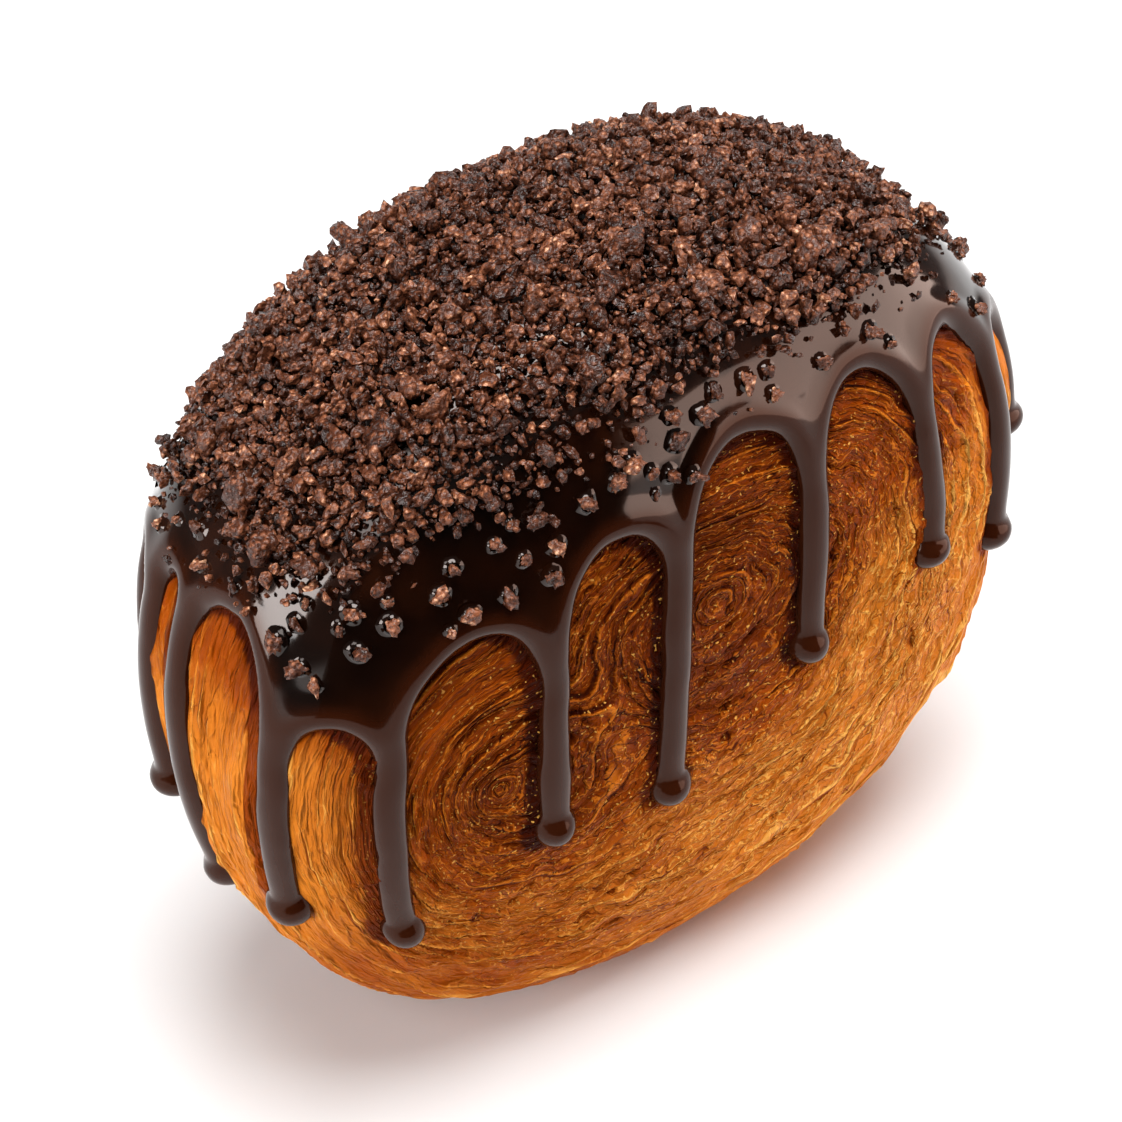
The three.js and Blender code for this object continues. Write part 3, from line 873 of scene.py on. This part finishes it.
def on_glaze(points, radii, sunk, heap):
    """The middles of crumbs that lie on the glaze at points, sunk into it by a share of their radius or
    heaped on others."""
    facings = outward(points - [0, 0, middle_height])
    return points + facings * (radii * (1 - sunk) + heap * random.uniform(0, 1, len(radii)))[:, None]


def crumb_finish():
    """Dry dark biscuit: each crumb grainy and of its own brown, with painted shade at the borders of its
    grains, and a little sheen from the glaze.
    """
    finish = Finish("biscuit_crumb")
    place = finish.whole_place()
    rough = finish.grain(place, 0.4 * mm, 2, 0.6)
    cells = finish.value("ShaderNodeTexVoronoi", {}, {"Vector": place, "Scale": 1 / (0.85 * mm)})
    # The grains are lighter in their middles and darker at their borders: painted shade between the grains.
    grains = 1 - cells.between(0.15, 0.7)
    tone = finish.kept("tint") + (rough - 0.5) * 0.8 + (grains - 0.5) * 0.35
    colour = finish.ramp(tone, CRUMB_TONES, CRUMB_COLOURS)
    finish.set(Base_Color=colour, Roughness=0.14 + rough * 0.3, IOR=1.45, Specular_IOR_Level=0.5)
    finish.bump(rough * 0.5 + grains * 0.5, 0.45 * mm)
    return finish.material


crumb_material = crumb_finish()


def crumbs(name, where, tries, radii, skew, apart, sunk, heap, splits, cuts, lumpy, tints, smooth):
    """All crumbs of one kind as one piece: how many are tried, from the smallest to the largest radius, how
    close two may lie, how far they sink in or heap up, and how each is broken and coloured. Gives back where
    they lie on the glaze, and their radii."""
    points, radii = strewn(where, tries, radii, skew, apart)
    ball, ball_faces = round_ball(splits)
    corners = nuggets(ball, on_glaze(points, radii, sunk, heap), radii, cuts, lumpy)
    faces = ball_faces[None] + (np.arange(len(radii)) * len(ball))[:, None, None]
    piece = mesh_piece(name, corners.reshape(-1, 3), faces.reshape(-1, 3), smooth)
    store(piece, "tint", np.repeat(random.uniform(*tints, len(radii)), len(ball)))
    piece.data.materials.append(crumb_material)
    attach(piece, "root")
    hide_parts("chocolate_glaze")
    return points, radii


crumbs("crumbs_large", heaped, tries=300, radii=(1.1 * mm, 2.2 * mm), skew=2.4, apart=0.9, sunk=0.35, heap=0,
       splits=3, cuts=14, lumpy=0.28, tints=(0.25, 0.6), smooth=True)
crumbs("crumbs_medium", heaped, tries=9000, radii=(0.45 * mm, 1.05 * mm), skew=1.6, apart=0.64, sunk=0.3,
       heap=1.0 * mm, splits=2, cuts=9, lumpy=0.30, tints=(0.2, 0.63), smooth=False)
lone_points, lone_radii = crumbs(
    "crumbs_lone", bare, tries=340, radii=(0.6 * mm, 1.1 * mm), skew=1, apart=1.3, sunk=0.45, heap=0,
    splits=3, cuts=9, lumpy=0.35, tints=(0.3, 0.7), smooth=True)
# The fine grit gets darker tints, partly its own colour and partly painted shade in the gaps between the
# larger crumbs.
crumbs("crumbs_fine", heaped, tries=16000, radii=(0.22 * mm, 0.5 * mm), skew=1.3, apart=0.5, sunk=0.3,
       heap=0.8 * mm, splits=1, cuts=5, lumpy=0.1, tints=(0, 0.6), smooth=False)

# ---- The collars ----
# Where a lone crumb sank into the bare glaze, the wet glaze crept up round it and set in a thin bright
# collar, of the same glaze.
# The collar's section: how far out from the crumb's middle and how far up, in crumb radii.
COLLAR = [(0.80, 0.40), (0.92, 0.27), (1.08, 0.12), (1.28, 0.02), (1.50, -0.06)]
COLLAR_STEPS = 22
COLLAR_WOBBLE = 0.16

turn = np.arange(COLLAR_STEPS) * 2 * math.pi / COLLAR_STEPS
facings = outward(lone_points - [0, 0, middle_height])
sideways = np.cross(facings, [0, 0, 1])
sideways /= np.linalg.norm(sideways, axis=1, keepdims=True)
uphill = np.cross(facings, sideways)
wobble = 1 + COLLAR_WOBBLE * random.uniform(-1, 1, (len(lone_radii), COLLAR_STEPS))
wobble = (wobble + np.roll(wobble, 1, 1) + np.roll(wobble, -1, 1)) / 3
ring = sideways[:, None] * np.cos(turn)[None, :, None] + uphill[:, None] * np.sin(turn)[None, :, None]
rings = []
for out, up in COLLAR:
    from_middle = ring * (out * wobble)[..., None] + facings[:, None] * up
    rings.append(lone_points[:, None] + from_middle * lone_radii[:, None, None])
wide = len(COLLAR)
i, j = np.meshgrid(np.arange(COLLAR_STEPS), np.arange(wide - 1), indexing="ij")
after = (i + 1) % COLLAR_STEPS
one = np.stack([i * wide + j, i * wide + j + 1, after * wide + j + 1, after * wide + j], -1).reshape(-1, 4)
collar_faces = one[None] + (np.arange(len(lone_radii)) * COLLAR_STEPS * wide)[:, None, None]
collars = mesh_piece("glaze_collars", np.stack(rings, 2).reshape(-1, 3), collar_faces.reshape(-1, 4))
collars.data.materials.append(glaze_finish)
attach(collars, "root")
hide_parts("chocolate_glaze")

# ---- The table ----
# A plain white table top, and a black card that stands on it in front of the roll and that the camera can't
# see. The card gives the wet glaze the dark part of its reflection.
TABLE_SIZE = 6.0
TABLE_WHITE = (0.79, 0.79, 0.79)
CARD_CORNER = (-0.30, -0.20, 0)
CARD_WIDTH = 0.36
CARD_HEIGHT = 0.24
CARD_BLACK = (0.004, 0.004, 0.004)


def board(name, corner, side, other_side, finish):
    """A flat board from one corner, by the two sides that start there. It isn't part of the roll."""
    corner, side, other_side = np.array(corner), np.array(side), np.array(other_side)
    corners = np.array([corner, corner + side, corner + side + other_side, corner + other_side])
    piece = mesh_piece(name, corners, np.array([[0, 1, 2, 3]]), smooth=False)
    piece.data.materials.append(finish.material)
    return piece


table_finish = Finish("white_table")
table_finish.set(Base_Color=TABLE_WHITE, Roughness=0.85, IOR=1.3)
table_corner = (-TABLE_SIZE / 2, -TABLE_SIZE / 2, 0)
board("table_top", table_corner, (TABLE_SIZE, 0, 0), (0, TABLE_SIZE, 0), table_finish)
card_finish = Finish("black_card")
card_finish.set(Base_Color=CARD_BLACK, Roughness=1.0)
card = board("black_card", CARD_CORNER, (CARD_WIDTH, 0, 0), (0, 0, CARD_HEIGHT), card_finish)
card.visible_camera = False

# ---- The light ----
# A wide softbox overhead, one at the left, a weaker one above that and one behind, and a warm screen low at
# the front right, in a dim white room.
ROOM_LIGHT = 0.12
# Each light: the way to it from the roll, how far off it is, its width and height, how bright it is, and its
# tint.
LIGHTS = {
    "overhead": ((0.07, -0.06, 1), 0.95, 0.62, 0.62, 12.0, (1, 1, 1)),
    "left_softbox": ((-0.94, -0.03, 0.27), 1.0, 0.48, 0.38, 12.0, (1, 1, 1)),
    "upper_left_softbox": ((-0.62, -0.27, 0.74), 1.0, 0.34, 0.42, 5.0, (1, 1, 1)),
    "right_screen": ((0.79, -0.60, 0.12), 1.1, 1.50, 0.5, 4.2, (1, 0.76, 0.66)),
    "back_softbox": ((0.66, 0.66, 0.36), 1.0, 0.5, 0.4, 2.2, (0.78, 0.95, 1)),
}

for name, (way, distance, width, height, brightness, tint) in LIGHTS.items():
    light_data = bpy.data.lights.new(name, "AREA")
    light_data.shape = "RECTANGLE"
    light_data.size = width
    light_data.size_y = height
    light_data.energy = math.pi * width * height * brightness
    light_data.color = tint
    way = Vector(way).normalized()
    light = bpy.data.objects.new(name, light_data)
    light.location = LOOKED_AT + way * distance
    light.rotation_euler = way.to_track_quat("Z", "Y").to_euler()
    bpy.context.scene.collection.objects.link(light)

room = bpy.data.worlds.new("studio")
room.use_nodes = True
room.node_tree.nodes["Background"].inputs["Color"].default_value = (ROOM_LIGHT, ROOM_LIGHT, ROOM_LIGHT, 1)
bpy.context.scene.world = room
bpy.context.scene.view_settings.view_transform = "Standard"
